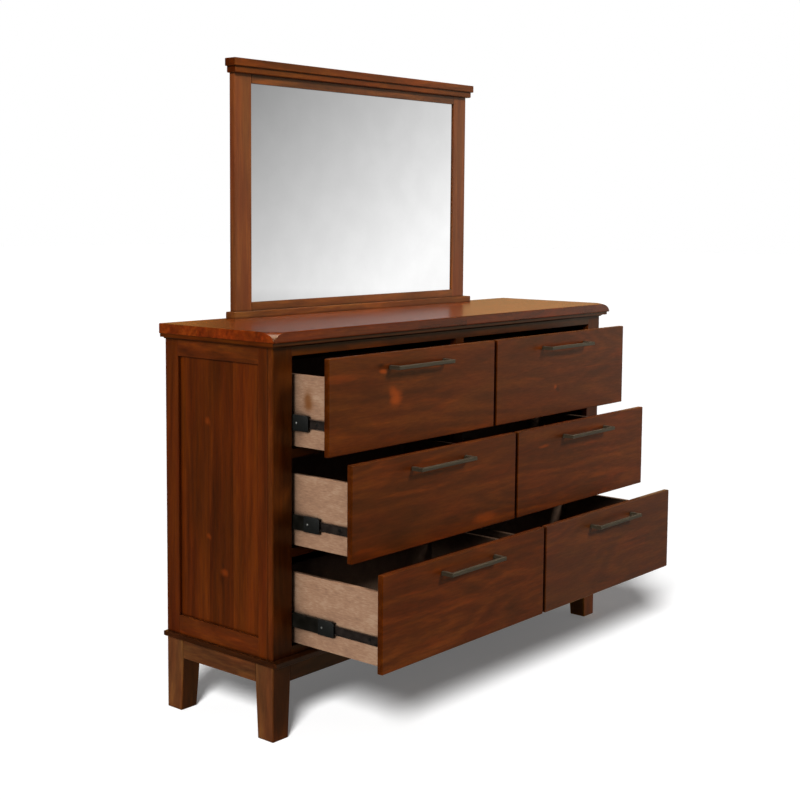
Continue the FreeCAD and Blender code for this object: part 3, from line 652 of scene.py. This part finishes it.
def model_rivet(material):
    """Pressed rivet head, a flat rim round a low dome, its seat at zero and its head up."""
    radius = bpy.context.scene.dresser_fittings.rivet_radius
    rim_thickness, rim_width = 0.5 * MM, 0.8 * MM
    # How far each ring of the dome rises, and how much narrower it is than the ring before
    dome = ((0.35 * MM, 0.85), (0.2 * MM, 0.65), (0.05 * MM, 0.45))
    bpy.ops.object.select_all(action="DESELECT")
    bpy.ops.mesh.primitive_cylinder_add(vertices=20, radius=radius, depth=rim_thickness,
                                        location=(0, 0, rim_thickness / 2))
    head = started()
    select_faces(head, lambda normal: normal.z > 0.9)
    bpy.ops.mesh.inset(thickness=rim_width)
    for rise, narrower in dome:
        bpy.ops.mesh.extrude_region_move(TRANSFORM_OT_translate={"value": (0, 0, rise)})
        bpy.ops.transform.resize(value=(narrower, narrower, 1.0))
    bpy.ops.object.mode_set(mode="OBJECT")
    bpy.ops.object.shade_smooth_by_angle(angle=math.radians(40))
    return taken_mesh(head, material)


def model_end_clip(material):
    """Clip on the front of a middle slide member, a plate whose long edges hook round the member.

    It lies flat, its outer face up, its length along X from zero and its hooks down.
    """
    sizes = bpy.context.scene.dresser_fittings
    length, wall = sizes.clip_length, sizes.clip_wall
    height, hook, corner_cut, rounding = 37.2 * MM, 4.5 * MM, 4 * MM, 0.3 * MM
    near = 0.1 * MM
    bpy.ops.object.select_all(action="DESELECT")
    bpy.ops.mesh.primitive_plane_add(size=1, location=(length / 2, 0, 0))
    bpy.context.object.scale = (length, height, 1)
    clip = started()
    bpy.ops.object.mode_set(mode="EDIT")
    bpy.ops.mesh.select_mode(type="EDGE")
    for side in (-1, 1):
        bpy.ops.mesh.select_all(action="DESELECT")
        mesh = bmesh.from_edit_mesh(clip.data)
        for edge in mesh.edges:
            edge.select_set(all(abs(vert.co.y - side * height / 2) < near and abs(vert.co.z) < near
                                for vert in edge.verts))
        bmesh.update_edit_mesh(clip.data)
        bpy.ops.mesh.extrude_region_move(TRANSFORM_OT_translate={"value": (0, 0, -hook)})
    for side in (-1, 1):
        bpy.ops.mesh.select_all(action="SELECT")
        bpy.ops.mesh.bisect(plane_co=(corner_cut, side * height / 2, 0), plane_no=(-1, side, 0),
                            clear_outer=True)
    bpy.ops.object.mode_set(mode="OBJECT")
    for kind, settings in (("SOLIDIFY", {"thickness": wall, "offset": 1.0}),
                           ("BEVEL", {"width": rounding, "segments": 2})):
        bpy.ops.object.modifier_add(type=kind)
        for setting, value in settings.items():
            setattr(clip.modifiers[0], setting, value)
        bpy.ops.object.modifier_apply(modifier=clip.modifiers[0].name)
    bpy.ops.object.shade_smooth_by_angle(angle=math.radians(40))
    return taken_mesh(clip, material)


def set_out(mesh, name, body, places):
    """Copies of a finished mesh at their places, each with its own mesh, riding on a body."""
    for number, place in enumerate(places):
        own = mesh.copy()
        own.transform(place)
        piece = bpy.data.objects.new(f"{name}_{number + 1}", own)
        bpy.context.scene.collection.objects.link(piece)
        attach(piece, body)


def seat(place, facing, scale=1.0):
    """Where a fitting goes: its seat at a place and its head towards a direction.

    It is turned by an angle that its place gives, so that no two stand alike.
    """
    upright = Vector(facing).to_track_quat("Z", "Y").to_matrix().to_4x4()
    radians_per_metre = 40
    turn = Matrix.Rotation(sum(place) * radians_per_metre, 4, "Z")
    return Matrix.Translation(Vector(place)) @ upright @ turn @ Matrix.Scale(scale, 4)


def drawer_names():
    """The six drawers, by row and side."""
    return [row + "_" + side for row in ("top", "middle", "bottom") for side in ("left", "right")]


class DRESSER_OT_fit_slides(bpy.types.Operator):
    """Put the clips, rivets and screws on the drawer slides."""

    bl_idname = "dresser.fit_slides"
    bl_label = "Fit the slides"

    def execute(self, context):
        clip = model_end_clip(moulded_nylon())
        rivet = model_rivet(rolled_steel("bright_zinc_plated_steel", "#6f6f6a", "#9a9a95"))
        screw = model_screw(rolled_steel("black_oxide_steel", "#1c1b18", "#34322d"))
        wall = context.scene.dresser_fittings.clip_wall
        rivet_back, rivet_scale = 39 * MM, 0.85
        # The drawer member's screws: how far back along it, and how far in from its lips they sit
        screws_back, screw_depth = (36 * MM, 160 * MM, 300 * MM), 4.8 * MM
        # The cabinet member's screws: where along Y and how far off its middle, and how far out
        # from the middle member's web they sit
        fixings_at = ((0.0, 8 * MM), (160 * MM, -8 * MM), (290 * MM, 8 * MM))
        fixing_depth, fixing_scale = 2.8 * MM, 0.6
        for name in drawer_names():
            clips, rivets, screws, fixings = [], [], [], []
            low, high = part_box(name + "_middle_slides")
            rail_low, rail_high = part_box(name + "_drawer_slides")
            height = (low.z + high.z) / 2
            for side, web, lips in ((-1, low.x, rail_low.x), (1, high.x, rail_high.x)):
                # The clip's length goes along Y and its outer face looks away from the drawer
                along_y = Matrix(((0, 0, side, 0), (1, 0, 0, 0), (0, side, 0, 0), (0, 0, 0, 1)))
                clips.append(Matrix.Translation((web, low.y, height)) @ along_y)
                rivets.append(seat((web + side * wall, low.y + rivet_back, height), (side, 0, 0),
                                   rivet_scale))
                screws += [seat((lips - side * screw_depth, rail_low.y + back, height), (side, 0, 0))
                           for back in screws_back]
                fixings += [seat((web + side * fixing_depth, y, height + up), (-side, 0, 0),
                                 fixing_scale) for y, up in fixings_at]
            set_out(clip, name + "_slide_clip", name + "_middle_slides", clips)
            set_out(rivet, name + "_slide_rivet", name + "_middle_slides", rivets)
            set_out(screw, name + "_slide_screw", name + "_drawer", screws)
            set_out(screw, name + "_cabinet_slide_screw", "case", fixings)
        return {"FINISHED"}


class DRESSER_OT_fit_screws(bpy.types.Operator):
    """Screw on the pulls, the drawer fronts, the back panel and the mirror."""

    bl_idname = "dresser.fit_screws"
    bl_label = "Fit the screws"

    def execute(self, context):
        screw = model_screw(rolled_steel("yellow_zinc_plated_steel", "#6b5a35", "#8f7c50"))
        backwards = (0, 1, 0)
        # Millimetres from the front's middle and bottom: two in the pull's posts, and four that
        # go through the front board of the box
        pull_screws = [(-109, 201), (109, 201)]
        board, front_screws = 12 * MM, [(-235, 55), (-235, 150), (235, 55), (235, 150)]
        for name in drawer_names():
            low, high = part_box(name + "_drawer_front")
            middle = (low.x + high.x) / 2
            for kind, depth, places in (("_pull_screw", 0.0, pull_screws),
                                        ("_front_screw", board, front_screws)):
                set_out(screw, name + kind, name + "_drawer",
                        [seat((middle + along * MM, high.y + depth, low.z + up * MM), backwards)
                         for along, up in places])
        # The back panel is screwed along its bottom and its top, and to the rear stiles; all in
        # millimetres
        rows, columns = (219, 980), (-620, -310, 0, 310, 620)
        stile_rows, stile = (400, 600, 800), 718
        back = [(along, up) for along in columns for up in rows]
        back += [(side * stile, up) for side in (-1, 1) for up in stile_rows]
        panel_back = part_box("back_panel")[1].y
        set_out(screw, "back_panel_screw", "case",
                [seat((along * MM, panel_back, up * MM), backwards) for along, up in back])
        # Each post is screwed twice to the case, once to the mirror's sill and once higher up
        posts_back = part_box("mirror_supports")[1].y
        posts = [(side * 310, up) for side in (-1, 1) for up in (680, 940, 1026, 1470)]
        set_out(screw, "mirror_post_screw", "case",
                [seat((along * MM, posts_back, up * MM), backwards) for along, up in posts])
        return {"FINISHED"}


def moulded_nylon():
    """Injection-moulded black nylon: a fine spark-eroded texture, softly shining.

    The texture is drawn 1 mm wide, some three times too coarse, so that it shows.
    """
    material, tree = new_material("moulded_black_nylon")
    grain, tone = mottled(tree, 900.0, 2.0, [(0.3, "#0c0d0b"), (0.7, "#161714")])
    bump = node(tree, "ShaderNodeBump", {"Height": grain.outputs[0], "Strength": 0.2,
                                         "Distance": 0.1 * MM})
    return surfaced(material, tree, {"Base Color": tone.outputs[0], "Roughness": 0.65,
                                     "Specular IOR Level": 0.25, "Normal": bump.outputs[0]})


# Studio
class DRESSER_OT_set_stage(bpy.types.Operator):
    """Lay the floor, hang the lamps and stand the camera where the photograph was taken."""

    bl_idname = "dresser.set_stage"
    bl_label = "Set the stage"

    def execute(self, context):
        studio = context.scene.dresser_studio
        bpy.ops.object.select_all(action="DESELECT")
        bpy.ops.mesh.primitive_plane_add(size=80, location=(0, 0, 0))
        floor = context.object
        floor.name = "studio_floor"
        floor.visible_glossy = False
        floor.data.materials.append(pale_floor(studio.floor_glow))
        side = add_lamp("side_lamp", studio.side_strength, towards=(-0.9, -0.18, 0.40), spread=30)
        front = add_lamp("front_lamp", studio.front_strength, towards=(0.28, -0.77, 0.57), spread=12)
        below = add_lamp("floor_lamp", studio.floor_strength, towards=(-0.70, -0.44, 0.54), spread=16)
        share_light(floor, [side, front], "EXCLUDE")
        share_light(floor, [below], "INCLUDE")
        studio_world(studio.fill)
        add_camera(studio.camera_place)
        context.scene.view_settings.view_transform = "Standard"
        return {"FINISHED"}


def pale_floor(glow):
    """Painted white studio floor that keeps the object's shadow and is white elsewhere."""
    material, tree = new_material("painted_studio_floor")
    tone = mottled(tree, 3.0, 2.0, [(0.3, "#f6f6f6"), (0.7, "#fafafa")])[1]
    seen = seen_directly(tree)
    # Seen directly the floor is white, but it throws only a grey floor's light on the object
    paint = node(tree, "ShaderNodeBsdfDiffuse",
                 {"Color": blend(tree, seen, shade("#bcbcbc"), tone.outputs[0])})
    light = node(tree, "ShaderNodeEmission",
                 {"Color": (1, 1, 1, 1), "Strength": maths(tree, "MULTIPLY", seen, glow)})
    both = node(tree, "ShaderNodeAddShader", {0: paint.outputs[0], 1: light.outputs[0]})
    node(tree, "ShaderNodeOutputMaterial", {"Surface": both.outputs[0]})
    return material


def seen_directly(tree):
    """One for what the camera sees straight or through glass, and nought for all else."""
    path = node(tree, "ShaderNodeLightPath")
    return maths(tree, "MAXIMUM", path.outputs["Is Camera Ray"], path.outputs["Is Transmission Ray"])


def add_lamp(name, strength, towards, spread):
    """A far lamp as wide as spread degrees, shining from a direction."""
    data = bpy.data.lights.new(name, "SUN")
    data.angle = math.radians(spread)
    data.energy = strength
    lamp = bpy.data.objects.new(name, data)
    bpy.context.scene.collection.objects.link(lamp)
    lamp.rotation_euler = Vector(towards).to_track_quat("Z", "Y").to_euler()
    return lamp


def share_light(floor, lamps, state):
    """Let lamps shine on all but the floor, or on the floor alone, so that it keeps a single shadow."""
    for lamp in lamps:
        reach = bpy.data.collections.new(lamp.name + "_reach")
        reach.objects.link(floor)
        reach.collection_objects[0].light_linking.link_state = state
        lamp.light_linking.receiver_collection = reach


def studio_world(fill):
    """Soft light from all round; the camera sees white, and gloss and glass see the studio.

    The studio is dark on the left, fades from white at the floor to grey above on the front
    right, and behind is warm on the right and, narrowly, on the left.
    """
    world = bpy.data.worlds.new("studio")
    bpy.context.scene.world = world
    world.use_nodes = True
    tree = world.node_tree
    tree.nodes.clear()
    direction = node(tree, "ShaderNodeTexCoord")
    parts = node(tree, "ShaderNodeSeparateXYZ", {0: direction.outputs["Generated"]})
    # How far a direction goes right, back and up, each from -1 to 1
    right, back, height = parts.outputs
    # The front right: brighter to the right and downwards, as the mirror shows it, and dim again
    # below the horizon
    start, to_right, upwards, curve = -0.973, 2.46, -1.72, 2.2
    fade = maths(tree, "MULTIPLY_ADD", right, to_right, start)
    fade = maths(tree, "MULTIPLY_ADD", height, upwards, fade, use_clamp=True)
    front = maths(tree, "POWER", fade, curve)
    below = ranged(tree, height, -0.11, -0.055, 0.17, 1.0)
    front = maths(tree, "MULTIPLY", front, below)
    # Behind: warm, dark and warm again from left to right, as the top's gloss shows it
    behind = node(tree, "ShaderNodeValToRGB", {0: ranged(tree, right, 0.60, 0.82)},
                  stops=[(0.26, (0.49, 0.25, 0.07, 1)), (0.36, (0.02, 0.012, 0.008, 1)),
                         (0.55, (0.12, 0.13, 0.06, 1)), (0.9, (0.67, 0.42, 0.19, 1))])
    is_back = ranged(tree, back, -0.1, 0.3, interpolation_type="SMOOTHSTEP")
    by_depth = blend(tree, is_back, grey(tree, front), behind.outputs[0])
    is_right = ranged(tree, right, -0.25, 0.35, interpolation_type="SMOOTHSTEP")
    seen_by_gloss = blend(tree, is_right, (0.03, 0.03, 0.03, 1), by_depth)
    # A small bright window overhead, for the glints on rounded edges
    overhead = ranged(tree, height, 0.8, 0.97, interpolation_type="SMOOTHSTEP")
    seen_by_gloss = blend(tree, overhead, seen_by_gloss, (6.0, 6.0, 6.0, 1))
    path = node(tree, "ShaderNodeLightPath")
    even = blend(tree, path.outputs["Is Glossy Ray"], (fill, fill, fill, 1), seen_by_gloss)
    colour = blend(tree, seen_directly(tree), even, (1, 1, 1, 1))
    sky = node(tree, "ShaderNodeBackground", {"Color": colour, "Strength": 1.0})
    node(tree, "ShaderNodeOutputWorld", {"Surface": sky.outputs[0]})


def add_camera(place):
    """The camera at the photograph's place: turned 49 degrees to the right, 5 degrees down."""
    yaw, pitch, roll = math.radians(49.14), math.radians(-5.28), math.radians(0.33)
    ahead = Vector((math.sin(yaw) * math.cos(pitch), math.cos(yaw) * math.cos(pitch), math.sin(pitch)))
    level_right = Vector((math.cos(yaw), -math.sin(yaw), 0))
    level_up = level_right.cross(ahead)
    right = level_right * math.cos(roll) + level_up * math.sin(roll)
    up = level_up * math.cos(roll) - level_right * math.sin(roll)
    turn = Matrix((right, up, -ahead)).transposed()
    data = bpy.data.cameras.new("camera")
    data.sensor_width = 36
    data.lens = 61.68
    data.shift_x = 0.0386
    data.shift_y = -0.0759
    data.clip_start = 0.05
    data.clip_end = 200
    camera = bpy.data.objects.new("camera", data)
    bpy.context.scene.collection.objects.link(camera)
    camera.matrix_world = Matrix.Translation(Vector(place)) @ turn.to_4x4()
    bpy.context.scene.camera = camera


class DRESSER_PT_panel(bpy.types.Panel):
    """Buttons for the dresser's finishes, fittings and studio."""

    bl_label = "Dresser"
    bl_idname = "DRESSER_PT_panel"
    bl_space_type = "VIEW_3D"
    bl_region_type = "UI"
    bl_category = "Dresser"

    def draw(self, context):
        for name in STEPS:
            self.layout.operator("dresser." + name)


STEPS = ["finish_case", "finish_fronts", "finish_mirror", "finish_insides", "finish_metal",
         "fit_slides", "fit_screws", "set_stage"]

CLASSES = [DresserWood, DresserFittings, DresserStudio, DRESSER_OT_finish_case,
           DRESSER_OT_finish_fronts, DRESSER_OT_finish_mirror, DRESSER_OT_finish_insides,
           DRESSER_OT_finish_metal, DRESSER_OT_fit_slides, DRESSER_OT_fit_screws,
           DRESSER_OT_set_stage, DRESSER_PT_panel]


def register():
    """Add the classes and the settings to Blender."""
    for cls in CLASSES:
        bpy.utils.register_class(cls)
    bpy.types.Scene.dresser_wood = bpy.props.PointerProperty(type=DresserWood)
    bpy.types.Scene.dresser_fittings = bpy.props.PointerProperty(type=DresserFittings)
    bpy.types.Scene.dresser_studio = bpy.props.PointerProperty(type=DresserStudio)


def unregister():
    """Take them out again."""
    del bpy.types.Scene.dresser_studio
    del bpy.types.Scene.dresser_fittings
    del bpy.types.Scene.dresser_wood
    for cls in reversed(CLASSES):
        bpy.utils.unregister_class(cls)


def main():
    """Build everything in order."""
    register()
    for name in STEPS:
        getattr(bpy.ops.dresser, name)()


if __name__ == "__main__":
    main()
